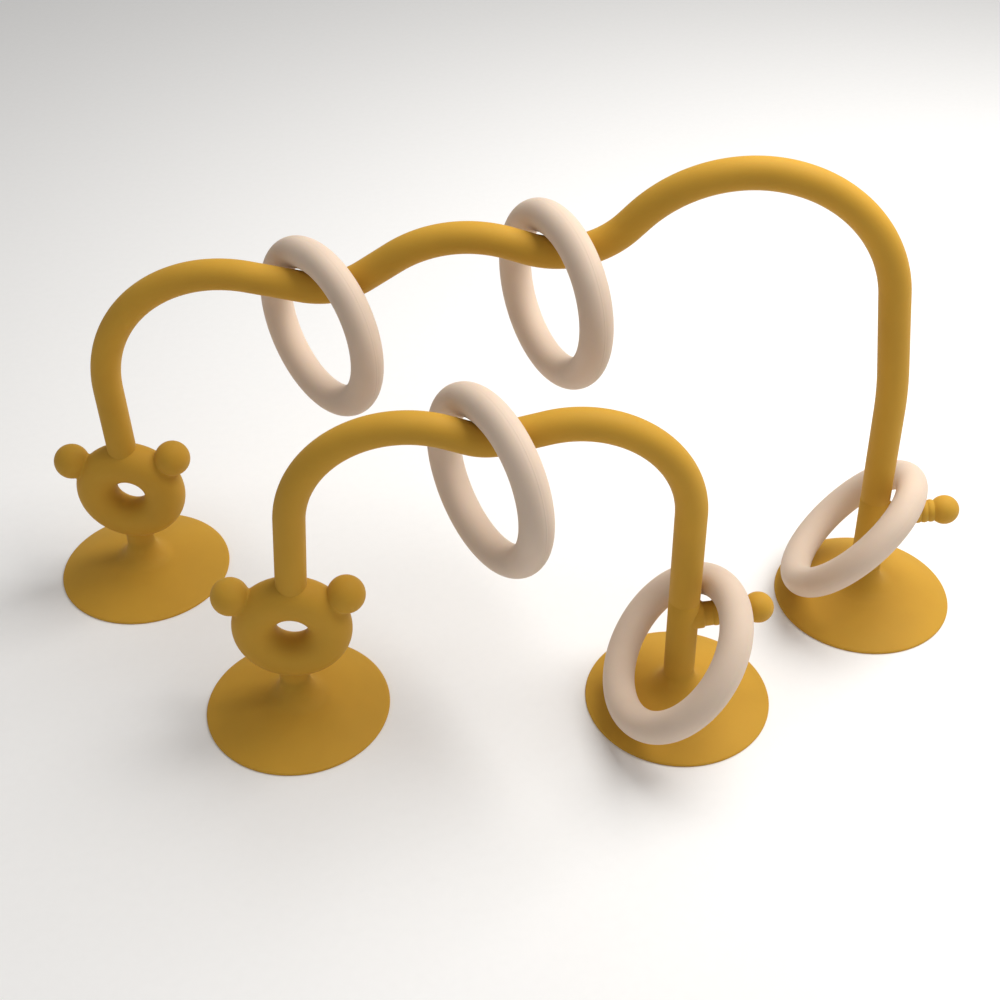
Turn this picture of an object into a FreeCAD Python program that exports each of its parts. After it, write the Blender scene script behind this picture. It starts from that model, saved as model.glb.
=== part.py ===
"""Teething play set: two suction-footed silicone arches with sliding rings.

Each arch is a wavy rod. Its left end is plugged into a bear-headed suction foot,
its right end is pushed over the peg of a plain suction foot that carries a ribbed
tail, and rings hang in its dips and lie over its right foot. Every arch is drawn
in its own upright plane: X runs from the left foot to the right foot, Z is up, and
X = 0 is the middle of the left suction cup. The set stands on Z = 0.
"""
import FreeCAD
import Part
import math
import os

import Sketcher
from FreeCAD import Placement, Rotation, Vector

UP = Vector(0, 0, 1)
ACROSS = Vector(0, 1, 0)

# Sizes that both arches share, in millimetres and degrees.
SHARED_SIZES = {
    "rod_diameter": 9.8,
    "ring_radius": 25.0,
    "ring_section": 10.2,
    "cup_radius": 30.0,
    "lip_height": 1.0,
    "lip_width": 1.2,
    "hollow_height": 3.0,
    "crown_radius": 10.8,
    "crown_height": 6.2,
    "crown_bulge": 0.5,
    "waist_hollow": 1.7,
    "neck_diameter": 9.6,
    "neck_height": 13.5,
    "head_circle_radius": 12.0,
    "head_section": 14.0,
    "ear_diameter": 12.2,
    "ear_distance": 22.3,
    "ear_angle": 53.5,
    "socket_depth": 7.5,
    "fit_gap": 0.05,
    "seam_height": 44.0,
    "peg_diameter": 6.0,
    "peg_length": 14.0,
    "peg_end_gap": 1.0,
    "tail_height": 36.6,
    "tail_rise": 8.0,
    "tail_reach": 23.4,
    "tail_root_diameter": 8.2,
    "tail_tip_diameter": 7.0,
    "tail_ball_diameter": 9.8,
    "rib_count": 5,
    "rib_pitch": 2.2,
    "rib_height": 0.3,
    "collar_diameter": 8.8,
    "collar_reach": 6.4,
}

# Where each arch stands, the shape of its rod and how its rings lie.
# A hump or dip is an arc of the rod's centre line: its centre and its radius.
# A ring over a foot is placed from the middle of that foot's cup.
ARCH_SIZES = {
    "large": {
        "place_x": -128.13,
        "place_y": 39.21,
        "turn": -4.92,
        "span": 257.2,
        "head_x": 0.2,
        "head_height": 36.5,
        "head_roll": -4.4,
        "hump1_x": 43.8, "hump1_z": 79.9, "hump1_radius": 44.2,
        "dip1_x": 73.0, "dip1_z": 146.7, "dip1_radius": 26.7,
        "hump2_x": 121.5, "hump2_z": 97.5, "hump2_radius": 41.4,
        "dip2_x": 146.9, "dip2_z": 163.9, "dip2_radius": 29.5,
        "hump3_x": 204.9, "hump3_z": 116.6, "hump3_radius": 45.2,
        "knee_x": 105.5, "knee_z": 75.2, "knee_radius": 149.4,
        "left_ring_yaw": 43.8,
        "left_ring_height": 105.6,
        "middle_ring_yaw": 31.9,
        "middle_ring_height": 119.6,
        "foot_ring_x": -6.9,
        "foot_ring_y": 0.4,
        "foot_ring_height": 30.0,
        "foot_ring_tilt": 48.5,
        "foot_ring_heading": 162.3,
    },
    "small": {
        "place_x": -66.83,
        "place_y": -30.79,
        "turn": 0.15,
        "span": 124.3,
        "head_x": 1.2,
        "head_height": 36.0,
        "head_roll": 0.0,
        "hump1_x": 40.0, "hump1_z": 76.5, "hump1_radius": 35.7,
        "dip1_x": 63.4, "dip1_z": 123.8, "dip1_radius": 16.7,
        "hump2_x": 89.0, "hump2_z": 77.8, "hump2_radius": 34.3,
        "left_ring_yaw": 31.4,
        "left_ring_height": 92.4,
        "foot_ring_x": -3.4,
        "foot_ring_y": -8.8,
        "foot_ring_height": 29.9,
        "foot_ring_tilt": 49.3,
        "foot_ring_heading": -171.7,
    },
}

# The order of the arcs along each rod; +1 bends clockwise (a hump), -1 the other way.
ROD_ARCS = {
    "large": (("hump1", 1), ("dip1", -1), ("hump2", 1), ("dip2", -1), ("hump3", 1), ("knee", 1)),
    "small": (("hump1", 1), ("dip1", -1), ("hump2", 1)),
}
HANGING_RINGS = {
    "large": (("left_ring", "dip1"), ("middle_ring", "dip2")),
    "small": (("left_ring", "dip1"),),
}

doc = FreeCAD.newDocument("TeethingPlaySet")
sheet = doc.addObject("Spreadsheet::Sheet", "Sizes")


def fill_sheet():
    """Write every driving size as a plain number with its own alias."""
    rows = list(SHARED_SIZES.items())
    for arch, sizes in ARCH_SIZES.items():
        rows += [(f"{arch}_{name}", value) for name, value in sizes.items()]
    for row, (alias, value) in enumerate(rows, start=1):
        sheet.set(f"A{row}", alias)
        sheet.set(f"B{row}", str(value))
        sheet.setAlias(f"B{row}", alias)
    doc.recompute()


def size(alias):
    """The number that the sheet holds under this alias."""
    return float(getattr(sheet, alias))


def bind(thing, prop, formula):
    """Tie a property to the sheet; each alias in the formula is written in brackets."""
    thing.setExpression(prop, formula.replace("[", "Sizes.").replace("]", ""))


def arch_placement(arch):
    """Where the arch's own upright plane stands in the set."""
    spot = Vector(size(f"{arch}_place_x"), size(f"{arch}_place_y"), 0)
    return Placement(spot, Rotation(UP, size(f"{arch}_turn")))


# --- the rod's centre line -------------------------------------------------------


def tangent_runs(arch):
    """The straight runs of the rod's centre line, as (start, end) pairs.

    They are the lines that touch each arc and the next, with the head's centre
    before the first arc and the middle of the right cup after the last one.
    """
    circles = [(size(f"{arch}_head_x"), size(f"{arch}_head_height"), 0.0)]
    for name, bend in ROD_ARCS[arch]:
        radius = bend * size(f"{arch}_{name}_radius")
        circles.append((size(f"{arch}_{name}_x"), size(f"{arch}_{name}_z"), radius))
    circles.append((size(f"{arch}_span"), 0.0, 0.0))
    runs = []
    for (x0, z0, r0), (x1, z1, r1) in zip(circles, circles[1:]):
        gap = math.hypot(x1 - x0, z1 - z0)
        length = math.sqrt(gap ** 2 - (r0 - r1) ** 2)
        heading = math.atan2(z1 - z0, x1 - x0) - math.atan2(r0 - r1, length)
        side = Vector(-math.sin(heading), 0, math.cos(heading))
        runs.append((Vector(x0, 0, z0) + side * r0, Vector(x1, 0, z1) + side * r1))
    return runs


def rod_ends(arch):
    """The rod's start in the head, its end on the foot's seam, and both directions."""
    runs = tangent_runs(arch)
    rise = (runs[0][1] - runs[0][0]).normalize()
    head_radius = size("head_circle_radius") + size("head_section") / 2
    start = runs[0][0] + rise * (head_radius - size("socket_depth"))
    post = (runs[-1][0] - runs[-1][1]).normalize()
    seam = runs[-1][1] + post * (size("seam_height") / post.z)
    return start, rise, seam, post


# --- sketch helpers --------------------------------------------------------------


def origin_plane(body, role):
    """One of the body's own origin planes."""
    return next(item for item in body.Origin.OriginFeatures if item.Role == role)


def new_sketch(body, name, role):
    """A sketch of the body on one of its origin planes."""
    sketch = body.newObject("Sketcher::SketchObject", name)
    sketch.AttachmentSupport = (origin_plane(body, role), "")
    sketch.MapMode = "FlatFace"
    return sketch


def flat(point):
    """A point of the arch's plane as a sketch point."""
    return Vector(point.x, point.z, 0)


def pin(sketch, element, point, x_formula, y_formula):
    """Hold a sketch point at a distance from the origin that the sheet gives."""
    for kind, formula in (("DistanceX", x_formula), ("DistanceY", y_formula)):
        now = sketch.getPoint(element, point)
        value = now.x if kind == "DistanceX" else now.y
        index = sketch.addConstraint(Sketcher.Constraint(kind, -1, 1, element, point, value))
        bind(sketch, f"Constraints[{index}]", formula)


def draw_rod_line(sketch, arch):
    """Straight runs joined by tangent arcs, each arc held by its centre and radius."""
    runs = tangent_runs(arch)
    start, rise, seam, post = rod_ends(arch)
    lines = [list(run) for run in runs]
    lines[0][0] = start
    lines[-1][1] = seam
    line_ids = []
    arc_ids = []
    for place, (begin, end) in enumerate(lines):
        line_ids.append(sketch.addGeometry(Part.LineSegment(flat(begin), flat(end))))
        if place < len(ROD_ARCS[arch]):
            name, bend = ROD_ARCS[arch][place]
            centre = Vector(size(f"{arch}_{name}_x"), size(f"{arch}_{name}_z"), 0)
            from_angle = math.atan2(end.z - centre.y, end.x - centre.x)
            onward = lines[place + 1][0]
            to_angle = math.atan2(onward.z - centre.y, onward.x - centre.x)
            low, high = (to_angle, from_angle) if bend > 0 else (from_angle, to_angle)
            circle = Part.Circle(centre, Vector(0, 0, 1), size(f"{arch}_{name}_radius"))
            arc_ids.append(sketch.addGeometry(Part.ArcOfCircle(circle, low, high)))
    head_line = sketch.addGeometry(Part.LineSegment(flat(runs[0][0]), flat(start)), True)
    foot_line = sketch.addGeometry(Part.LineSegment(flat(seam), flat(runs[-1][1])), True)
    for place, (name, bend) in enumerate(ROD_ARCS[arch]):
        entry, exit_ = (2, 1) if bend > 0 else (1, 2)
        arc = arc_ids[place]
        sketch.addConstraint(Sketcher.Constraint("Tangent", line_ids[place], 2, arc, entry))
        sketch.addConstraint(Sketcher.Constraint("Tangent", line_ids[place + 1], 1, arc, exit_))
        radius = size(f"{arch}_{name}_radius")
        index = sketch.addConstraint(Sketcher.Constraint("Radius", arc, radius))
        bind(sketch, f"Constraints[{index}]", f"[{arch}_{name}_radius]")
        pin(sketch, arc, 3, f"[{arch}_{name}_x]", f"[{arch}_{name}_z]")
    sketch.addConstraint(Sketcher.Constraint("Coincident", head_line, 2, line_ids[0], 1))
    sketch.addConstraint(Sketcher.Constraint("Parallel", head_line, line_ids[0]))
    pin(sketch, head_line, 1, f"[{arch}_head_x]", f"[{arch}_head_height]")
    inset = (start - runs[0][0]).Length
    index = sketch.addConstraint(Sketcher.Constraint("Distance", head_line, inset))
    bind(sketch, f"Constraints[{index}]", "[head_circle_radius] + [head_section] / 2 - [socket_depth]")
    sketch.addConstraint(Sketcher.Constraint("Coincident", foot_line, 1, line_ids[-1], 2))
    sketch.addConstraint(Sketcher.Constraint("Parallel", foot_line, line_ids[-1]))
    pin(sketch, foot_line, 2, f"[{arch}_span]", "0")
    index = sketch.addConstraint(Sketcher.Constraint("DistanceY", -1, 1, foot_line, 1, seam.z))
    bind(sketch, f"Constraints[{index}]", "[seam_height]")
    return [f"Edge{number + 1}" for number in range(len(line_ids) + len(arc_ids))]


def add_cylinder(body, kind, name, base, direction, radius, height):
    """A cylinder feature that adds to or cuts from the body, along a direction."""
    feature = body.newObject(f"PartDesign::{kind}Cylinder", name)
    feature.Placement = Placement(base, Rotation(UP, direction))
    bind(feature, "Radius", radius)
    bind(feature, "Height", height)
    return feature


# --- the pieces ------------------------------------------------------------------


def make_rod(arch):
    """The wavy rod, with a blind bore in its right end for the foot's peg."""
    body = doc.addObject("PartDesign::Body", f"{arch}_rod")
    line = new_sketch(body, f"{arch}_rod_line", "XZ_Plane")
    edges = draw_rod_line(line, arch)
    doc.recompute()
    start, rise, seam, post = rod_ends(arch)
    section = new_sketch(body, f"{arch}_rod_section", "XY_Plane")
    section.AttachmentOffset = Placement(start, Rotation(UP, rise))
    circle = Part.Circle(Vector(0, 0, 0), Vector(0, 0, 1), size("rod_diameter") / 2)
    section.addGeometry(circle)
    section.addConstraint(Sketcher.Constraint("Coincident", 0, 3, -1, 1))
    section.addConstraint(Sketcher.Constraint("Diameter", 0, size("rod_diameter")))
    bind(section, "Constraints[1]", "[rod_diameter]")
    doc.recompute()
    pipe = body.newObject("PartDesign::AdditivePipe", f"{arch}_rod_sweep")
    pipe.Profile = section
    pipe.Spine = (line, edges)
    doc.recompute()
    add_cylinder(
        body, "Subtractive", f"{arch}_peg_bore", seam - post * 1.0, post,
        "[peg_diameter] / 2 + [fit_gap]", "[peg_length] + [peg_end_gap] + 1",
    )
    return body


def draw_outline(sketch, corners, bulges):
    """A closed outline through corners, each a pair of (value, formula) for X and for Y.

    bulges gives, for the side that leaves a corner, how far its middle stands out to
    the left of the way round; every other side is straight.
    """
    spots = [Vector(x[0], y[0], 0) for x, y in corners]
    sides = []
    for place, begin in enumerate(spots):
        end = spots[(place + 1) % len(spots)]
        if place not in bulges:
            sides.append((sketch.addGeometry(Part.LineSegment(begin, end)), 1, 2))
            continue
        bulge = bulges[place]
        chord = end - begin
        left = Vector(-chord.y, chord.x, 0).normalize()
        radius = (chord.Length ** 2 / 4 + bulge ** 2) / (2 * abs(bulge))
        centre = (begin + end) * 0.5 + left * (bulge - math.copysign(radius, bulge))
        ends = [begin, end] if bulge < 0 else [end, begin]
        low, high = (math.atan2(spot.y - centre.y, spot.x - centre.x) for spot in ends)
        circle = Part.Circle(centre, UP, radius)
        side = sketch.addGeometry(Part.ArcOfCircle(circle, low, high))
        sides.append((side, 1, 2) if bulge < 0 else (side, 2, 1))
    for (side, _, tail), (following, head, _) in zip(sides, sides[1:] + sides[:1]):
        sketch.addConstraint(Sketcher.Constraint("Coincident", side, tail, following, head))
    for (side, head, _), (x, y) in zip(sides, corners):
        pin(sketch, side, head, x[1], y[1])
    for place, bulge in bulges.items():
        side = sides[place][0]
        radius = sketch.Geometry[side].Radius
        sketch.addConstraint(Sketcher.Constraint("Radius", side, radius))


def from_sheet(alias, factor=1):
    """A (value, formula) pair for a size, or for a share of it."""
    return size(alias) * factor, f"[{alias}] * {factor}"


ZERO = (0.0, "0")


def revolve(body, sketch, name, axis):
    """Turn a closed outline once round one of its sketch's own axes."""
    doc.recompute()
    turned = body.newObject("PartDesign::Revolution", name)
    turned.Profile = sketch
    turned.ReferenceAxis = (sketch, [axis])
    turned.Angle = 360
    doc.recompute()
    return turned


def crown_point(share):
    """A point of the cup's domed top, from the lip (0) to the foot of the neck (1)."""
    x = f"[cup_radius] + ([crown_radius] - [cup_radius]) * {share}"
    rise = f"[lip_height] + ([crown_height] - [lip_height]) * {share}"
    z = f"{rise} + [crown_bulge] * {4 * share * (1 - share)}"
    across = size("cup_radius") + (size("crown_radius") - size("cup_radius")) * share
    up = size("lip_height") + (size("crown_height") - size("lip_height")) * share
    return (across, x), (up + size("crown_bulge") * 4 * share * (1 - share), z)


def add_cup(body, arch, top):
    """The suction cup with its shallow hollow, domed crown and a neck up to a height."""
    sketch = new_sketch(body, f"{body.Name}_cup_section", "XZ_Plane")
    inner = (size("cup_radius") - size("lip_width"), "[cup_radius] - [lip_width]")
    cup = from_sheet("cup_radius")
    neck = from_sheet("neck_diameter", 0.5)
    corners = [(ZERO, from_sheet("hollow_height")), (inner, ZERO), (cup, ZERO)]
    corners += [crown_point(step / 4) for step in range(5)]
    corners += [(neck, from_sheet("neck_height")), (neck, top), (ZERO, top)]
    bulges = {7: size("waist_hollow")}
    draw_outline(sketch, corners, bulges)
    revolve(body, sketch, f"{body.Name}_cup", "V_Axis")


def add_head(body, arch, centre):
    """The bear's head: a thick round section turned about the axis of the hole in it."""
    sketch = new_sketch(body, f"{arch}_bear_head_section", "XY_Plane")
    sketch.AttachmentOffset = Placement(centre, Rotation())
    middle = Vector(size("head_circle_radius"), 0, 0)
    circle = Part.Circle(middle, UP, size("head_section") / 2)
    quarter = math.pi / 2
    outer = sketch.addGeometry(Part.ArcOfCircle(circle, -quarter, quarter))
    inner = sketch.addGeometry(Part.ArcOfCircle(circle, quarter, 3 * quarter))
    sketch.addConstraint(Sketcher.Constraint("Coincident", outer, 2, inner, 1))
    sketch.addConstraint(Sketcher.Constraint("Coincident", outer, 1, inner, 2))
    index = sketch.addConstraint(Sketcher.Constraint("Radius", outer, circle.Radius))
    bind(sketch, f"Constraints[{index}]", "[head_section] / 2")
    sketch.addConstraint(Sketcher.Constraint("PointOnObject", outer, 3, -1))
    for side, point in ((outer, 1), (outer, 2), (outer, 3), (inner, 3)):
        index = sketch.addConstraint(Sketcher.Constraint("DistanceX", -1, 1, side, point, middle.x))
        bind(sketch, f"Constraints[{index}]", "[head_circle_radius]")
    revolve(body, sketch, f"{arch}_bear_head", "V_Axis")


def make_bear_foot(arch):
    """A suction cup whose neck carries a round bear's head with a hole and two ears."""
    body = doc.addObject("PartDesign::Body", f"{arch}_bear_foot")
    neck_top = (
        size(f"{arch}_head_height") - size("head_circle_radius"),
        f"[{arch}_head_height] - [head_circle_radius]",
    )
    add_cup(body, arch, neck_top)
    centre = Vector(size(f"{arch}_head_x"), 0, size(f"{arch}_head_height"))
    add_head(body, arch, centre)
    for ear, side in (("left_ear", -1), ("right_ear", 1)):
        angle = math.radians(side * size("ear_angle") + size(f"{arch}_head_roll"))
        spot = centre + Vector(math.sin(angle), 0, math.cos(angle)) * size("ear_distance")
        ball = body.newObject("PartDesign::AdditiveSphere", f"{arch}_{ear}")
        ball.Placement = Placement(spot, Rotation())
        bind(ball, "Radius", "[ear_diameter] / 2")
        doc.recompute()
    start, rise, _, _ = rod_ends(arch)
    add_cylinder(
        body, "Subtractive", f"{arch}_socket", start, rise,
        "[rod_diameter] / 2 + [fit_gap]", "[socket_depth] * 2",
    )
    return body


def draw_tail(sketch):
    """Half of the tail's section, X along its axis: a taper with ribs and a ball end."""
    root = size("tail_root_diameter") / 2
    tip = size("tail_tip_diameter") / 2
    ball = size("tail_ball_diameter") / 2
    reach = size("tail_reach")
    throat = reach - math.sqrt(ball ** 2 - tip ** 2)
    end = (reach + ball, "[tail_reach] + [tail_ball_diameter] / 2")
    collar = from_sheet("collar_diameter", 0.5)
    corners = [(ZERO, ZERO), (ZERO, collar), (from_sheet("collar_reach"), collar)]
    bulges = {}
    count = int(size("rib_count"))
    for half_rib in range(2 * count + 1):
        along = throat - (count - half_rib / 2) * size("rib_pitch")
        half = root + (tip - root) * along / throat + half_rib % 2 * size("rib_height")
        corners.append(((along, f"{along}"), (half, f"{half}")))
    half_cap = math.atan2(tip, throat - reach) / 2
    bulges[len(corners) - 1] = ball * (1 - math.cos(half_cap))
    corners.append((end, ZERO))
    draw_outline(sketch, corners, bulges)


def make_tail_foot(arch):
    """A plain suction cup with a post, a peg that enters the rod, and a ribbed tail."""
    body = doc.addObject("PartDesign::Body", f"{arch}_tail_foot")
    _, _, seam, post = rod_ends(arch)
    base = Vector(size(f"{arch}_span"), 0, 0)
    shift = Placement(base, Rotation()).inverse()
    neck_top = from_sheet("neck_height", 1.1)
    add_cup(body, arch, neck_top)
    inside = size("crown_height")
    add_cylinder(
        body, "Additive", f"{arch}_post", shift.multVec(base + post * inside), post,
        "[rod_diameter] / 2", f"{(seam - base).Length} - [crown_height]",
    )
    doc.recompute()
    add_cylinder(
        body, "Additive", f"{arch}_peg", shift.multVec(seam - post), post,
        "[peg_diameter] / 2", "[peg_length] + 1",
    )
    doc.recompute()
    root = shift.multVec(base + post * (size("tail_height") / post.z))
    sketch = new_sketch(body, f"{arch}_tail_section", "XZ_Plane")
    turn = Rotation(UP, size("tail_rise"))
    sketch.AttachmentOffset = Placement(flat(root), turn)
    draw_tail(sketch)
    revolve(body, sketch, f"{arch}_tail", "H_Axis")
    return body


def make_ring(name):
    """A plain round ring, lying flat about the origin."""
    ring = doc.addObject("Part::Torus", name)
    bind(ring, "Radius1", "[ring_radius]")
    bind(ring, "Radius2", "[ring_section] / 2")
    return ring


def hanging_ring(arch, name, dip):
    """A ring that hangs upright from the lowest point of a dip, turned by its yaw."""
    ring = make_ring(f"{arch}_{name}")
    spot = Vector(size(f"{arch}_{dip}_x"), 0, size(f"{arch}_{name}_height"))
    facing = Rotation(UP, size(f"{arch}_{name}_yaw")) * Rotation(ACROSS, 90)
    ring.Placement = arch_placement(arch) * Placement(spot, facing)
    return ring


def foot_ring(arch):
    """A ring round the post, low edge on the cup and high edge on the tail."""
    ring = make_ring(f"{arch}_foot_ring")
    spot = Vector(
        size(f"{arch}_span") + size(f"{arch}_foot_ring_x"),
        size(f"{arch}_foot_ring_y"),
        size(f"{arch}_foot_ring_height"),
    )
    heading = size(f"{arch}_foot_ring_heading")
    lean = Rotation(UP, heading) * Rotation(ACROSS, size(f"{arch}_foot_ring_tilt"))
    ring.Placement = arch_placement(arch) * Placement(spot, lean)
    return ring


def make_arch(arch):
    """Every piece of one arch, standing where the arch stands."""
    rod = make_rod(arch)
    rod.Placement = arch_placement(arch)
    bear_foot = make_bear_foot(arch)
    bear_foot.Placement = arch_placement(arch)
    tail_foot = make_tail_foot(arch)
    span = Vector(size(f"{arch}_span"), 0, 0)
    tail_foot.Placement = arch_placement(arch) * Placement(span, Rotation())
    pieces = [rod, bear_foot, tail_foot]
    for name, dip in HANGING_RINGS[arch]:
        pieces.append(hanging_ring(arch, name, dip))
    pieces.append(foot_ring(arch))
    return pieces


def check(pieces):
    """Stop if any object failed or any piece isn't one sound solid."""
    doc.recompute()
    for item in doc.Objects:
        if "Invalid" in item.State or "Error" in item.State:
            raise RuntimeError(f"{item.Name} failed: {item.State}")
    for piece in pieces:
        shape = piece.Shape
        if shape.isNull() or not shape.isValid() or len(shape.Solids) != 1:
            raise RuntimeError(f"{piece.Name} isn't one valid solid")


def write(pieces):
    """Write each piece to its own file, named by its label."""
    os.makedirs("parts", exist_ok=True)
    for piece in pieces:
        piece.Label = piece.Name
        piece.Shape.exportStep(f"parts/{piece.Label}.step")
        box = piece.Shape.BoundBox
        print(f"{piece.Label}: {piece.Shape.Volume / 1000:.2f} cm3, "
              f"X {box.XMin:.1f} to {box.XMax:.1f}, Y {box.YMin:.1f} to {box.YMax:.1f}, "
              f"Z {box.ZMin:.2f} to {box.ZMax:.1f}")


fill_sheet()
all_pieces = make_arch("large") + make_arch("small")
check(all_pieces)
write(all_pieces)
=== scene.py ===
"""Teething toy set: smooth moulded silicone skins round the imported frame."""
import math

import bmesh
import bpy
from bpy.props import FloatProperty, FloatVectorProperty, IntProperty, PointerProperty
from mathutils import Matrix, Vector


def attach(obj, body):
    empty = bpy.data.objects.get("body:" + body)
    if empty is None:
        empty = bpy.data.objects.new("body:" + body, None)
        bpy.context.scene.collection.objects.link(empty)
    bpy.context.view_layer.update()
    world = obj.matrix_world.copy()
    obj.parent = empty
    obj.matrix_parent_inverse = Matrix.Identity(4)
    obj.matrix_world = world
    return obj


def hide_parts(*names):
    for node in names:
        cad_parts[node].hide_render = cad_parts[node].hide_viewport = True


bl_info = {
    "name": "Suction-foot teething set",
    "version": (1, 0, 0),
    "blender": (4, 5, 0),
    "location": "View3D > Sidebar > Teething set",
    "description": "Silicone arches on suction feet, with bears' heads, ribbed tails and rings",
    "category": "Object",
}

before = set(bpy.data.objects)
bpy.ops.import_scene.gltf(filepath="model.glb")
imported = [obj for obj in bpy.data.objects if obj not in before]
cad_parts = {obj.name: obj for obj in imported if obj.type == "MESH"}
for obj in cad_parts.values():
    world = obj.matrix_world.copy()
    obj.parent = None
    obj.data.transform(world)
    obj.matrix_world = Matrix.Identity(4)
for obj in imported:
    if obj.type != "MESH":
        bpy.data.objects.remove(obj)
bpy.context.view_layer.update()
MM = 0.001

# Millimetres. Each arch is drawn in its own upright plane, from the left foot's middle.
# An arc of the rod is (x, z, radius, bend); +1 bends clockwise, as a hump does.
ARCHES = {
    "large": {
        "place": (-128.13, 39.21), "turn": -4.92, "span": 257.2,
        "head": (0.2, 36.5), "roll": -4.4,
        "arcs": ((43.8, 79.9, 44.2, 1), (73.0, 146.7, 26.7, -1), (121.5, 97.5, 41.4, 1),
                 (146.9, 163.9, 29.5, -1), (204.9, 116.6, 45.2, 1), (105.5, 75.2, 149.4, 1)),
        "hanging": (("left_ring", 73.0, 105.6, 43.8), ("middle_ring", 146.9, 119.6, 31.9)),
        "foot_ring": (-6.9, 0.4, 30.0, 48.5, 162.3),
    },
    "small": {
        "place": (-66.83, -30.79), "turn": 0.15, "span": 124.3,
        "head": (1.2, 36.0), "roll": 0.0,
        "arcs": ((40.0, 76.5, 35.7, 1), (63.4, 123.8, 16.7, -1), (89.0, 77.8, 34.3, 1)),
        "hanging": (("left_ring", 63.4, 92.4, 31.4),),
        "foot_ring": (-3.4, -8.8, 29.9, 49.3, -171.7),
    },
}
ROD_RADIUS = 4.9
HEAD_CIRCLE = 12.0
HEAD_SECTION = 7.0
SOCKET_DEPTH = 7.5
SEAM_HEIGHT = 44.0
RING_RADIUS = 25.0
RING_SECTION = 5.1
EAR_RADIUS = 6.1
EAR_DISTANCE = 22.3
EAR_ANGLE = 53.5
CUP_RADIUS = 30.0
CUP_SHOULDER = (10.8, 6.2)
NECK_RADIUS = 4.8
NECK_TOP = 13.5
TAIL_HEIGHT = 36.6
TAIL_RISE = 8.0
TAIL_REACH = 23.4
TAIL_ROOT = 4.1
TAIL_TIP = 3.5
BALL_RADIUS = 4.9
COLLAR_RADIUS = 4.4
COLLAR_REACH = 6.4
RIB_COUNT = 5
RIB_PITCH = 2.2

# Faces round each kind of turned shape.
CUP_SIDES = 160
HEAD_SIDES = 128
POST_SIDES = 64
RING_SIDES = 176

# The camera, in metres, millimetres of lens and degrees.
CAMERA_SPOT = (-0.00646, -0.36383, 0.35633)
CAMERA_LENS = 52.859
CAMERA_SHIFT = (0.02176, 0.00178)
CAMERA_PITCH = 39.1846
CAMERA_ROLL = -1.17255
FLOOR_HALF = 6


class SiliconeSettings(bpy.types.PropertyGroup):
    """Colours and surface of the two silicones."""
    mustard: FloatVectorProperty(
        name="Arch colour", description="Colour of the arches and their feet",
        subtype="COLOR", size=3, min=0, max=1, default=(0.570, 0.315, 0.038))
    beige: FloatVectorProperty(
        name="Ring colour", description="Colour of the rings",
        subtype="COLOR", size=3, min=0, max=1, default=(0.700, 0.560, 0.445))
    roughness: FloatProperty(
        name="Roughness", description="How matte the silicone is", subtype="FACTOR",
        min=0.2, max=0.9, default=0.6)
    grain: FloatProperty(
        name="Grain depth", description="Height of the fine matte grain", unit="LENGTH",
        min=0, max=0.0002, default=0.00002, precision=6)


class ShapeSettings(bpy.types.PropertyGroup):
    """Moulding details that a maker may change."""
    parting_line: FloatProperty(
        name="Parting line", description="Height of the mould's parting line",
        unit="LENGTH", min=0, max=0.0003, default=0.00006, precision=6)
    rib_height: FloatProperty(
        name="Rib height", description="How far a tail's ribs stand out",
        unit="LENGTH", min=0, max=0.001, default=0.0003, precision=5)
    head_grid: FloatProperty(
        name="Head grid", description="Grid size of the head's blended skin",
        unit="LENGTH", min=0.0003, max=0.001, default=0.0004, precision=5)
    sides: IntProperty(
        name="Sides", description="Faces round a rod or a ring's section",
        min=24, max=96, default=56)


# --- places ------------------------------------------------------------------------


def arch_matrix(arch):
    """Where the arch's own plane stands, in millimetres."""
    x, y = ARCHES[arch]["place"]
    turn = Matrix.Rotation(math.radians(ARCHES[arch]["turn"]), 4, "Z")
    return Matrix.Translation((x, y, 0)) @ turn


def straight_runs(arch):
    """The lines that touch each arc and the next, from the head to the right cup."""
    data = ARCHES[arch]
    circles = [(*data["head"], 0.0)]
    circles += [(x, z, radius * bend) for x, z, radius, bend in data["arcs"]]
    circles.append((data["span"], 0.0, 0.0))
    runs = []
    for (x0, z0, r0), (x1, z1, r1) in zip(circles, circles[1:]):
        length = math.sqrt((x1 - x0) ** 2 + (z1 - z0) ** 2 - (r0 - r1) ** 2)
        heading = math.atan2(z1 - z0, x1 - x0) - math.atan2(r0 - r1, length)
        side = Vector((-math.sin(heading), 0, math.cos(heading)))
        runs.append((Vector((x0, 0, z0)) + side * r0, Vector((x1, 0, z1)) + side * r1))
    return runs


def rod_ends(arch):
    """The rod's start in the head, its end on the seam, and the post's direction."""
    runs = straight_runs(arch)
    rise = (runs[0][1] - runs[0][0]).normalized()
    start = runs[0][0] + rise * (HEAD_CIRCLE + HEAD_SECTION - SOCKET_DEPTH)
    post = (runs[-1][0] - runs[-1][1]).normalized()
    seam = runs[-1][1] + post * (SEAM_HEIGHT / post.z)
    return start, rise, seam, post


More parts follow.
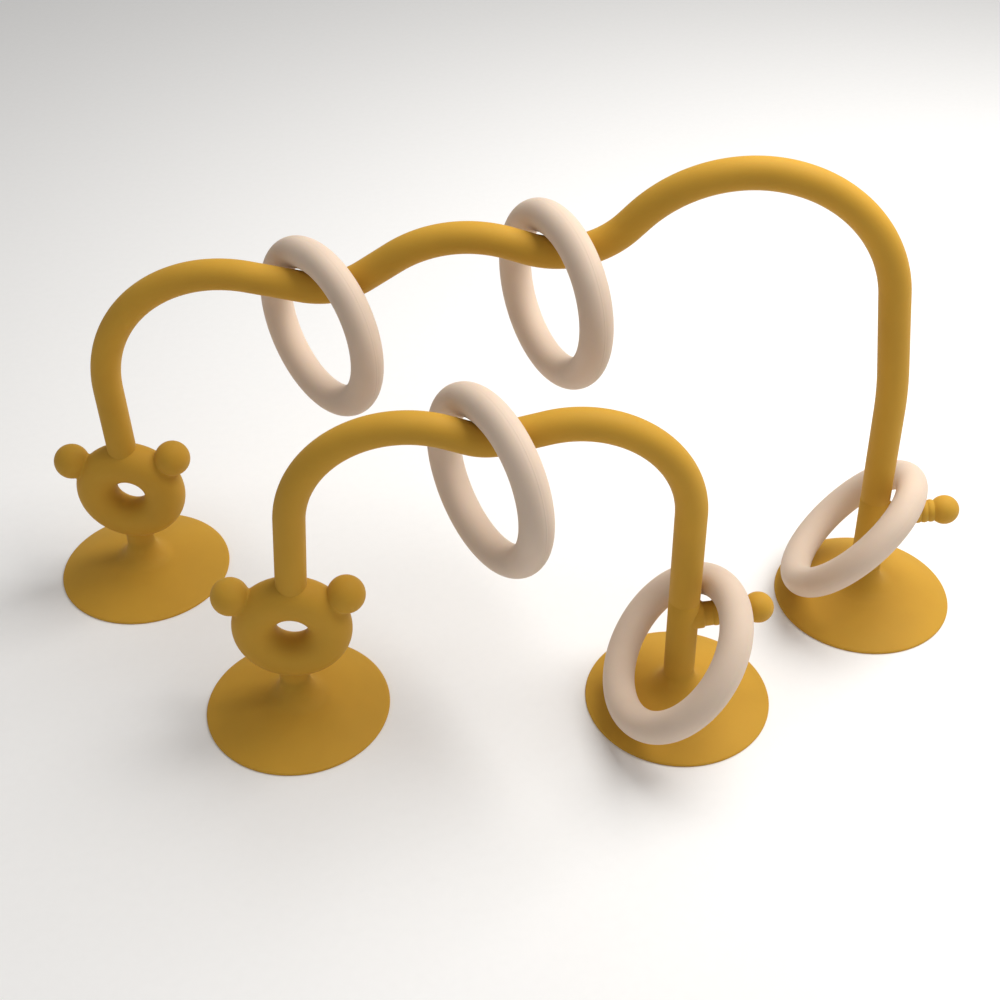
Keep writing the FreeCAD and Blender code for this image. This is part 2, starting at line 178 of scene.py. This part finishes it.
def rod_line(arch, step=1.0):
    """Points along the rod's middle: straight runs joined by its arcs."""
    runs = straight_runs(arch)
    start, _, seam, _ = rod_ends(arch)
    runs[0] = (start, runs[0][1])
    runs[-1] = (runs[-1][0], seam)
    points = []
    for place, (begin, end) in enumerate(runs):
        count = max(1, round((end - begin).length / step))
        points += [begin.lerp(end, share / count) for share in range(count)]
        if place == len(runs) - 1:
            points.append(end)
            break
        x, z, radius, bend = ARCHES[arch]["arcs"][place]
        onward = runs[place + 1][0]
        low = math.atan2(end.z - z, end.x - x)
        sweep = math.atan2(onward.z - z, onward.x - x) - low
        sweep = (sweep + math.pi) % (2 * math.pi) - math.pi
        count = max(2, round(abs(sweep) * radius / step))
        for share in range(count):
            angle = low + sweep * share / count
            points.append(Vector((x + math.cos(angle) * radius, 0, z + math.sin(angle) * radius)))
    return points


# --- mesh tools --------------------------------------------------------------------


def arc_points(begin, end, bulge, count):
    """Points on a shallow arc after begin up to end; bulge stands out on its left."""
    chord = Vector(end) - Vector(begin)
    left = Vector((-chord.y, chord.x)).normalized()
    points = []
    for step in range(1, count + 1):
        share = step / count
        spot = Vector(begin) + chord * share + left * bulge * 4 * share * (1 - share)
        points.append(tuple(spot))
    return points


def lathe(profile, count, closed=False):
    """Turn (radius, height) pairs round Z; a closed profile makes a ring."""
    verts = []
    rows = []
    for radius, height in profile:
        if radius < 1e-6:
            rows.append([len(verts)] * count)
            verts.append((0, 0, height))
            continue
        rows.append(list(range(len(verts), len(verts) + count)))
        for step in range(count):
            angle = 2 * math.pi * step / count
            verts.append((radius * math.cos(angle), radius * math.sin(angle), height))
    pairs = list(zip(rows, rows[1:] + rows[:1])) if closed else list(zip(rows, rows[1:]))
    faces = []
    for low, high in pairs:
        for step in range(count):
            after = (step + 1) % count
            face = [low[step], low[after], high[after], high[step]]
            face = [spot for place, spot in enumerate(face) if spot not in face[:place]]
            if len(face) > 2:
                faces.append(face)
    return verts, faces


def make_mesh(name, verts, faces, matrix=None):
    """A mesh in metres from parts in millimetres, its faces turned outwards."""
    mesh = bpy.data.meshes.new(name)
    mesh.from_pydata(verts, [], faces)
    mesh.transform(Matrix.Scale(MM, 4) @ (matrix or Matrix()))
    solid = bmesh.new()
    solid.from_mesh(mesh)
    bmesh.ops.recalc_face_normals(solid, faces=solid.faces)
    solid.to_mesh(mesh)
    solid.free()
    return mesh


def join(name, meshes):
    """One mesh that holds several closed shells."""
    solid = bmesh.new()
    for mesh in meshes:
        solid.from_mesh(mesh)
        bpy.data.meshes.remove(mesh)
    mesh = bpy.data.meshes.new(name)
    solid.to_mesh(mesh)
    solid.free()
    return mesh


def smooth(mesh, angle=50):
    """Smooth shading, with a crease only where faces meet sharply."""
    solid = bmesh.new()
    solid.from_mesh(mesh)
    for face in solid.faces:
        face.smooth = True
    for edge in solid.edges:
        edge.smooth = not (edge.is_manifold and edge.calc_face_angle(0) > math.radians(angle))
    solid.to_mesh(mesh)
    solid.free()


def plain_mesh(thing, name):
    """The evaluated object as a mesh of its own; the object is removed."""
    bpy.context.view_layer.update()
    graph = bpy.context.evaluated_depsgraph_get()
    mesh = bpy.data.meshes.new_from_object(thing.evaluated_get(graph))
    mesh.name = name
    bpy.data.objects.remove(thing)
    return mesh


def finish_piece(name, mesh, material, body, slot, *nodes):
    """Put a finished mesh on its body, in place of its nodes."""
    mesh.materials.clear()
    mesh.materials.append(material)
    piece = bpy.data.objects.new(name, mesh)
    bpy.context.scene.collection.objects.link(piece)
    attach(piece, body)
    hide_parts(*nodes)
    return piece


def node_group(name, inputs):
    """A geometry node tree with the named inputs and one geometry output."""
    tree = bpy.data.node_groups.new(name, "GeometryNodeTree")
    for label, kind in inputs:
        tree.interface.new_socket(label, in_out="INPUT", socket_type=kind)
    tree.interface.new_socket("Geometry", in_out="OUTPUT", socket_type="NodeSocketGeometry")
    start = tree.nodes.new("NodeGroupInput")
    end = tree.nodes.new("NodeGroupOutput")
    return tree, start, end


def close_tree(tree, start, end, last):
    """Realize the instances and set the material at the end of a tree."""
    real = tree.nodes.new("GeometryNodeRealizeInstances")
    paint = tree.nodes.new("GeometryNodeSetMaterial")
    tree.links.new(last, real.inputs[0])
    tree.links.new(real.outputs[0], paint.inputs["Geometry"])
    tree.links.new(start.outputs["Material"], paint.inputs["Material"])
    tree.links.new(paint.outputs[0], end.inputs[0])


def rod_tree():
    """A round rod swept along the curve it is given."""
    tree, start, end = node_group("rod_sweep", (
        ("Geometry", "NodeSocketGeometry"), ("Radius", "NodeSocketFloat"),
        ("Sides", "NodeSocketInt"), ("Material", "NodeSocketMaterial")))
    circle = tree.nodes.new("GeometryNodeCurvePrimitiveCircle")
    sweep = tree.nodes.new("GeometryNodeCurveToMesh")
    sweep.inputs["Fill Caps"].default_value = True
    tree.links.new(start.outputs["Radius"], circle.inputs["Radius"])
    tree.links.new(start.outputs["Sides"], circle.inputs["Resolution"])
    tree.links.new(start.outputs["Geometry"], sweep.inputs["Curve"])
    tree.links.new(circle.outputs[0], sweep.inputs["Profile Curve"])
    close_tree(tree, start, end, sweep.outputs[0])
    return tree


def rib_tree():
    """Ribs at an even pitch along X, each a little smaller than the one before."""
    tree, start, end = node_group("tail_ribs", (
        ("Geometry", "NodeSocketGeometry"), ("Count", "NodeSocketInt"),
        ("Pitch", "NodeSocketFloat"), ("Start", "NodeSocketFloat"),
        ("Radius", "NodeSocketFloat"), ("Shrink", "NodeSocketFloat"),
        ("Thickness", "NodeSocketFloat"), ("Material", "NodeSocketMaterial")))
    make = tree.nodes.new
    link = tree.links.new
    line = make("GeometryNodeMeshLine")
    offset = make("ShaderNodeCombineXYZ")
    first = make("ShaderNodeCombineXYZ")
    big = make("GeometryNodeCurvePrimitiveCircle")
    thin = make("GeometryNodeCurvePrimitiveCircle")
    sweep = make("GeometryNodeCurveToMesh")
    spread = make("GeometryNodeInstanceOnPoints")
    index = make("GeometryNodeInputIndex")
    shrink = make("ShaderNodeMath")
    scale = make("ShaderNodeMath")
    shrink.operation = "MULTIPLY"
    scale.operation = "SUBTRACT"
    scale.inputs[0].default_value = 1.0
    big.inputs["Resolution"].default_value = 64
    thin.inputs["Resolution"].default_value = 20
    spread.inputs["Rotation"].default_value = (0, math.pi / 2, 0)
    link(start.outputs["Count"], line.inputs["Count"])
    link(start.outputs["Pitch"], offset.inputs[0])
    link(offset.outputs[0], line.inputs["Offset"])
    link(start.outputs["Start"], first.inputs[0])
    link(first.outputs[0], line.inputs["Start Location"])
    link(start.outputs["Radius"], big.inputs["Radius"])
    link(start.outputs["Thickness"], thin.inputs["Radius"])
    link(big.outputs[0], sweep.inputs["Curve"])
    link(thin.outputs[0], sweep.inputs["Profile Curve"])
    link(line.outputs[0], spread.inputs["Points"])
    link(sweep.outputs[0], spread.inputs["Instance"])
    link(index.outputs[0], shrink.inputs[0])
    link(start.outputs["Shrink"], shrink.inputs[1])
    link(shrink.outputs[0], scale.inputs[1])
    link(scale.outputs[0], spread.inputs["Scale"])
    close_tree(tree, start, end, spread.outputs[0])
    return tree


def run_tree(name, data, tree, values):
    """The plain mesh that a tree makes of some data."""
    thing = bpy.data.objects.new(name, data)
    bpy.context.scene.collection.objects.link(thing)
    modifier = thing.modifiers.new("shape", "NODES")
    modifier.node_group = tree
    for item in tree.interface.items_tree:
        if item.in_out == "INPUT" and item.name in values:
            modifier[item.identifier] = values[item.name]
    return plain_mesh(thing, name)


# --- silicone ----------------------------------------------------------------------


def silicone(name, colour, warm, settings):
    """Matte silicone: cloudy colour, fine grain, a little dust and light inside it."""
    found = bpy.data.materials.get(name)
    if found:
        return found
    material = bpy.data.materials.new(name)
    material.use_nodes = True
    tree = material.node_tree
    make = tree.nodes.new
    link = tree.links.new
    shader = tree.nodes["Principled BSDF"]
    shader.inputs["Subsurface Weight"].default_value = 0.12
    shader.inputs["Subsurface Radius"].default_value = (1.0, 0.45, 0.15)
    shader.inputs["Subsurface Scale"].default_value = 0.002
    shader.inputs["IOR"].default_value = 1.41
    shader.inputs["Specular IOR Level"].default_value = 0.16
    shader.inputs["Sheen Weight"].default_value = 0.03
    shader.inputs["Sheen Roughness"].default_value = 0.45
    place = make("ShaderNodeTexCoord")
    cloud = make("ShaderNodeTexNoise")
    cloud.inputs["Scale"].default_value = 38
    cloud.inputs["Detail"].default_value = 5
    grain = make("ShaderNodeTexNoise")
    grain.inputs["Scale"].default_value = 2600
    grain.inputs["Detail"].default_value = 3
    dust = make("ShaderNodeTexVoronoi")
    dust.inputs["Scale"].default_value = 420
    for pattern in (cloud, grain, dust):
        link(place.outputs["Object"], pattern.inputs["Vector"])
    tint = make("ShaderNodeValToRGB")
    tint.color_ramp.elements[0].position = 0.3
    tint.color_ramp.elements[1].position = 0.7
    tint.color_ramp.elements[0].color = (*[part * 0.94 for part in colour], 1)
    tint.color_ramp.elements[1].color = (*[min(1, part * 1.05) for part in colour], 1)
    link(cloud.outputs["Fac"], tint.inputs["Fac"])
    speck = make("ShaderNodeMapRange")
    speck.inputs["From Min"].default_value = 0.05
    speck.inputs["From Max"].default_value = 0.11
    speck.inputs["To Min"].default_value = 0.10
    speck.inputs["To Max"].default_value = 0.0
    link(dust.outputs["Distance"], speck.inputs["Value"])
    dusty = make("ShaderNodeMix")
    dusty.data_type = "RGBA"
    dusty.inputs["B"].default_value = (*warm, 1)
    link(speck.outputs["Result"], dusty.inputs["Factor"])
    link(tint.outputs["Color"], dusty.inputs["A"])
    link(dusty.outputs["Result"], shader.inputs["Base Color"])
    matte = make("ShaderNodeMapRange")
    matte.inputs["To Min"].default_value = settings.roughness - 0.05
    matte.inputs["To Max"].default_value = settings.roughness + 0.07
    link(cloud.outputs["Fac"], matte.inputs["Value"])
    link(matte.outputs["Result"], shader.inputs["Roughness"])
    bump = make("ShaderNodeBump")
    bump.inputs["Strength"].default_value = 0.5
    bump.inputs["Distance"].default_value = settings.grain
    link(grain.outputs["Fac"], bump.inputs["Height"])
    link(bump.outputs["Normal"], shader.inputs["Normal"])
    return material


def mustard_silicone(scene):
    """The arches' material."""
    return silicone("arch_silicone", scene.silicone.mustard, (0.45, 0.27, 0.06), scene.silicone)


def beige_silicone(scene):
    """The rings' material."""
    return silicone("ring_silicone", scene.silicone.beige, (0.60, 0.50, 0.42), scene.silicone)


# --- pieces ------------------------------------------------------------------------


def cup_profile(top):
    """The suction cup's outline, from the middle of its hollow to its neck's top."""
    points = [(0, 3.0), (9.6, 2.2), (19.2, 1.15), (CUP_RADIUS - 1.4, 0.08)]
    points += [(CUP_RADIUS - 1.2, 0), (CUP_RADIUS - 0.3, 0)]
    points += [(CUP_RADIUS - 0.09, 0.09), (CUP_RADIUS, 0.3), (CUP_RADIUS, 0.55)]
    points += [(CUP_RADIUS - 0.1, 0.82), (CUP_RADIUS - 0.35, 1.02)]
    points += arc_points(points[-1], CUP_SHOULDER, -0.5, 20)
    points += arc_points(CUP_SHOULDER, (NECK_RADIUS, NECK_TOP), 1.7, 16)
    points += [(NECK_RADIUS, top), (0, top)]
    return points


def place_at(spot, direction=None):
    """A matrix that puts a shape's origin at a spot and its Z along a direction."""
    turn = direction.to_track_quat("Z", "Y").to_matrix().to_4x4() if direction else Matrix()
    return Matrix.Translation(spot) @ turn


def ball_profile(radius, count=32):
    """Half a circle, from the lowest pole to the highest."""
    return [(abs(math.sin(math.pi * step / count)) * radius if 0 < step < count else 0,
             -math.cos(math.pi * step / count) * radius) for step in range(count + 1)]


def head_mesh(arch, grid):
    """Head, ears and neck blended into one skin, with soft creases between them."""
    data = ARCHES[arch]
    x, z = data["head"]
    middle = Vector((x, 0, z))
    face = [(HEAD_CIRCLE + math.cos(a) * HEAD_SECTION, math.sin(a) * HEAD_SECTION)
            for a in (2 * math.pi * step / 64 for step in range(64))]
    verts, faces = lathe(face, HEAD_SIDES, closed=True)
    shells = [make_mesh("face", verts, faces, place_at(middle, Vector((0, 1, 0))))]
    verts, faces = lathe(ball_profile(EAR_RADIUS), POST_SIDES)
    for side in (-1, 1):
        angle = math.radians(side * EAR_ANGLE + data["roll"])
        spot = middle + Vector((math.sin(angle), 0, math.cos(angle))) * EAR_DISTANCE
        shells.append(make_mesh("ear", verts, faces, Matrix.Translation(spot)))
    low, high = 10.5, z - HEAD_CIRCLE
    verts, faces = lathe([(0, low), (NECK_RADIUS, low), (NECK_RADIUS, high), (0, high)], POST_SIDES)
    shells.append(make_mesh("neck", verts, faces))
    raw = bpy.data.objects.new("head", join("head", shells))
    bpy.context.scene.collection.objects.link(raw)
    skin = raw.modifiers.new("skin", "REMESH")
    skin.mode = "VOXEL"
    skin.voxel_size = grid
    skin.use_smooth_shade = True
    ease = raw.modifiers.new("ease", "SMOOTH")
    ease.factor = 0.5
    ease.iterations = 6
    return plain_mesh(raw, "head_skin")


class SET_OT_rods(bpy.types.Operator):
    """Sweep both wavy rods"""
    bl_idname = "teether.rods"
    bl_label = "Rods"

    def execute(self, context):
        material = mustard_silicone(context.scene)
        tree = rod_tree()
        for arch in ARCHES:
            curve = bpy.data.curves.new(f"{arch}_rod_path", "CURVE")
            curve.dimensions = "3D"
            line = curve.splines.new("POLY")
            points = [arch_matrix(arch) @ spot for spot in rod_line(arch)]
            line.points.add(len(points) - 1)
            for spot, point in zip(line.points, points):
                spot.co = (*(point * MM), 1)
            mesh = run_tree(f"{arch}_wavy_rod", curve, tree, {
                "Radius": ROD_RADIUS * MM, "Sides": context.scene.shape.sides,
                "Material": material})
            smooth(mesh)
            finish_piece(f"{arch}_wavy_rod", mesh, material, f"{arch}_arch",
                         "yellow_silicone", f"{arch}_rod")
        return {"FINISHED"}


class SET_OT_bear_feet(bpy.types.Operator):
    """Mould both suction feet with bears' heads"""
    bl_idname = "teether.bear_feet"
    bl_label = "Bear feet"

    def execute(self, context):
        material = mustard_silicone(context.scene)
        for arch in ARCHES:
            head = head_mesh(arch, context.scene.shape.head_grid)
            verts, faces = lathe(cup_profile(15.0), CUP_SIDES)
            mesh = join(f"{arch}_bear_moulding", [head, make_mesh("cup", verts, faces)])
            turn = arch_matrix(arch)
            turn.translation *= MM
            mesh.transform(turn)
            smooth(mesh)
            finish_piece(f"{arch}_bear_moulding", mesh, material, f"{arch}_arch",
                         "yellow_silicone", f"{arch}_bear_foot")
        return {"FINISHED"}


def tail_profile():
    """The tail's outline along its axis: rounded collar, taper and ball end."""
    throat = TAIL_REACH - math.sqrt(BALL_RADIUS ** 2 - TAIL_TIP ** 2)
    points = [(0, 0), (COLLAR_RADIUS, 0)]
    points += [(COLLAR_RADIUS - inset, COLLAR_REACH - back)
               for inset, back in ((0, 0.9), (0.04, 0.45), (0.16, 0.15), (0.38, 0))]
    taper = COLLAR_REACH + 0.1
    for step in range(13):
        along = taper + (throat - taper) * step / 12
        points.append((TAIL_ROOT + (TAIL_TIP - TAIL_ROOT) * along / throat, along))
    low = math.atan2(TAIL_TIP, throat - TAIL_REACH)
    for step in range(1, 25):
        angle = low * (1 - step / 24)
        radius = math.sin(angle) * BALL_RADIUS if step < 24 else 0
        points.append((radius, TAIL_REACH + math.cos(angle) * BALL_RADIUS))
    return points, throat


class SET_OT_tail_feet(bpy.types.Operator):
    """Mould both suction feet with posts and ribbed tails"""
    bl_idname = "teether.tail_feet"
    bl_label = "Tail feet"

    def execute(self, context):
        material = mustard_silicone(context.scene)
        shape = context.scene.shape
        tree = rib_tree()
        outline, throat = tail_profile()
        for arch in ARCHES:
            _, _, seam, post = rod_ends(arch)
            base = Vector((ARCHES[arch]["span"], 0, 0))
            place = arch_matrix(arch)
            verts, faces = lathe(cup_profile(14.8), CUP_SIDES)
            shells = [make_mesh("cup", verts, faces, place @ Matrix.Translation(base))]
            length = (seam - base).length
            foot = CUP_SHOULDER[1]
            post_outline = [(0, foot), (ROD_RADIUS, foot), (ROD_RADIUS, length - 0.08),
                            (ROD_RADIUS - 0.08, length), (0, length)]
            verts, faces = lathe(post_outline, POST_SIDES)
            shells.append(make_mesh("post", verts, faces, place @ place_at(base, post)))
            root = base + post * (TAIL_HEIGHT / post.z)
            rise = Matrix.Rotation(-math.radians(TAIL_RISE), 4, "Y")
            along = place @ Matrix.Translation(root) @ rise
            verts, faces = lathe(outline, POST_SIDES)
            lay = Matrix.Rotation(math.pi / 2, 4, "Y")
            shells.append(make_mesh("tail", verts, faces, along @ lay))
            stand = shape.rib_height / MM
            thick = ((RIB_PITCH / 2) ** 2 + stand ** 2) / (2 * stand)
            first = throat - (RIB_COUNT - 0.5) * RIB_PITCH
            half = TAIL_ROOT + (TAIL_TIP - TAIL_ROOT) * first / throat
            reach = half + stand - thick
            drop = (TAIL_ROOT - TAIL_TIP) * RIB_PITCH / throat
            ribs = run_tree("ribs", bpy.data.meshes.new("ribs"), tree, {
                "Count": RIB_COUNT, "Pitch": RIB_PITCH * MM, "Start": first * MM,
                "Radius": reach * MM, "Shrink": drop / (reach + thick),
                "Thickness": thick * MM, "Material": material})
            move = along.copy()
            move.translation *= MM
            ribs.transform(move)
            mesh = join(f"{arch}_tail_moulding", shells + [ribs])
            smooth(mesh)
            finish_piece(f"{arch}_tail_moulding", mesh, material, f"{arch}_tail_foot",
                         "yellow_silicone", f"{arch}_tail_foot")
        return {"FINISHED"}


def ring_outline(line_height, count):
    """The ring's section: a fine ridge between two grooves on its outer equator."""
    # Pairs of an angle in radians and a share of the line's height.
    ridge = ((-0.04, 0.0), (-0.02, 0.4), (0.0, 1.0), (0.02, 0.4), (0.04, 0.0))
    spots = [(angle, RING_SECTION - line_height * (1 - rise)) for angle, rise in ridge]
    spots += [(2 * math.pi * step / count, RING_SECTION) for step in range(1, count)]
    return [(RING_RADIUS + math.cos(angle) * radius, math.sin(angle) * radius)
            for angle, radius in spots]


class SET_OT_rings(bpy.types.Operator):
    """Mould the rings, each with its parting line"""
    bl_idname = "teether.rings"
    bl_label = "Rings"

    def execute(self, context):
        material = beige_silicone(context.scene)
        shape = context.scene.shape
        outline = ring_outline(shape.parting_line / MM, shape.sides)
        verts, faces = lathe(outline, RING_SIDES, closed=True)
        for arch, data in ARCHES.items():
            spots = {}
            for name, x, height, yaw in data["hanging"]:
                turn = Matrix.Rotation(math.radians(yaw), 4, "Z")
                spots[name] = Matrix.Translation((x, 0, height)) @ turn @ Matrix.Rotation(math.pi / 2, 4, "Y")
            x, y, height, tilt, heading = data["foot_ring"]
            turn = Matrix.Rotation(math.radians(heading), 4, "Z")
            lean = Matrix.Rotation(math.radians(tilt), 4, "Y")
            spots["foot_ring"] = Matrix.Translation((data["span"] + x, y, height)) @ turn @ lean
            for name, spot in spots.items():
                mesh = make_mesh(f"{arch}_{name}_moulding", verts, faces, arch_matrix(arch) @ spot)
                smooth(mesh)
                finish_piece(f"{arch}_{name}_moulding", mesh, material, f"{arch}_{name}",
                             "beige_silicone", f"{arch}_{name}")
        return {"FINISHED"}


# --- stage -------------------------------------------------------------------------


def soft_light(name, spot, aim, size, power, colour):
    """A large square lamp that looks at a point."""
    data = bpy.data.lights.new(name, "AREA")
    data.size = size
    data.energy = power
    data.color = colour
    lamp = bpy.data.objects.new(name, data)
    bpy.context.scene.collection.objects.link(lamp)
    lamp.location = spot
    lamp.rotation_euler = (Vector(aim) - Vector(spot)).to_track_quat("-Z", "Y").to_euler()


def floor_material():
    """Matte white paper with a faint tooth."""
    material = bpy.data.materials.new("white_paper")
    material.use_nodes = True
    tree = material.node_tree
    shader = tree.nodes["Principled BSDF"]
    shader.inputs["Roughness"].default_value = 0.9
    shader.inputs["Specular IOR Level"].default_value = 0.1
    place = tree.nodes.new("ShaderNodeTexCoord")
    tooth = tree.nodes.new("ShaderNodeTexNoise")
    tooth.inputs["Scale"].default_value = 300
    shade = tree.nodes.new("ShaderNodeValToRGB")
    shade.color_ramp.elements[0].color = (0.93, 0.93, 0.93, 1)
    shade.color_ramp.elements[1].color = (0.96, 0.96, 0.96, 1)
    tree.links.new(place.outputs["Object"], tooth.inputs["Vector"])
    tree.links.new(tooth.outputs["Fac"], shade.inputs["Fac"])
    tree.links.new(shade.outputs["Color"], shader.inputs["Base Color"])
    return material


class SET_OT_stage(bpy.types.Operator):
    """Lay the floor and set the lights and the camera"""
    bl_idname = "teether.stage"
    bl_label = "Stage"

    def execute(self, context):
        scene = context.scene
        scene.view_settings.view_transform = "Standard"
        mesh = bpy.data.meshes.new("floor")
        half = FLOOR_HALF
        corners = [(-half, -half, 0), (half, -half, 0), (half, half, 0), (-half, half, 0)]
        mesh.from_pydata(corners, [], [(0, 1, 2, 3)])
        mesh.materials.append(floor_material())
        floor = bpy.data.objects.new("floor", mesh)
        scene.collection.objects.link(floor)
        world = bpy.data.worlds.new("soft_room")
        scene.world = world
        world.use_nodes = True
        room = world.node_tree.nodes["Background"]
        room.inputs["Color"].default_value = (1.0, 0.99, 0.98, 1)
        room.inputs["Strength"].default_value = 0.35
        soft_light("window", (0.30, 0.12, 0.58), (0.03, 0, 0.05), 0.5, 4.6, (1.0, 0.98, 0.95))
        soft_light("fill", (-0.6, -0.7, 0.7), (0, 0, 0.05), 0.9, 0.3, (0.97, 0.98, 1.0))
        lens = bpy.data.cameras.new("camera")
        lens.sensor_width = 36
        lens.lens = CAMERA_LENS
        lens.shift_x, lens.shift_y = CAMERA_SHIFT
        lens.clip_start = 0.01
        camera = bpy.data.objects.new("camera", lens)
        scene.collection.objects.link(camera)
        pitch = math.radians(CAMERA_PITCH)
        roll = math.radians(CAMERA_ROLL)
        ahead = Vector((0, math.cos(pitch), -math.sin(pitch)))
        up = Vector((0, math.sin(pitch), math.cos(pitch)))
        right = Vector((1, 0, 0))
        across = right * math.cos(roll) + up * math.sin(roll)
        above = up * math.cos(roll) - right * math.sin(roll)
        turn = Matrix((across, above, -ahead)).transposed().to_4x4()
        camera.matrix_world = Matrix.Translation(CAMERA_SPOT) @ turn
        scene.camera = camera
        return {"FINISHED"}


class SET_PT_panel(bpy.types.Panel):
    """Sizes, colours and pieces of the set"""
    bl_label = "Teething set"
    bl_idname = "SET_PT_panel"
    bl_space_type = "VIEW_3D"
    bl_region_type = "UI"
    bl_category = "Teething set"

    def draw(self, context):
        scene = context.scene
        for group, names in ((scene.silicone, ("mustard", "beige", "roughness", "grain")),
                             (scene.shape, ("parting_line", "rib_height", "head_grid", "sides"))):
            for name in names:
                self.layout.prop(group, name)
        for step in STEPS:
            self.layout.operator(step.bl_idname)


STEPS = (SET_OT_rods, SET_OT_bear_feet, SET_OT_tail_feet, SET_OT_rings, SET_OT_stage)
CLASSES = (SiliconeSettings, ShapeSettings, *STEPS, SET_PT_panel)


def register():
    for item in CLASSES:
        bpy.utils.register_class(item)
    bpy.types.Scene.silicone = PointerProperty(type=SiliconeSettings)
    bpy.types.Scene.shape = PointerProperty(type=ShapeSettings)


def unregister():
    del bpy.types.Scene.shape
    del bpy.types.Scene.silicone
    for item in reversed(CLASSES):
        bpy.utils.unregister_class(item)


def main():
    """Build every piece and set the stage."""
    register()
    bpy.ops.teether.rods()
    bpy.ops.teether.bear_feet()
    bpy.ops.teether.tail_feet()
    bpy.ops.teether.rings()
    bpy.ops.teether.stage()


if __name__ == "__main__":
    main()
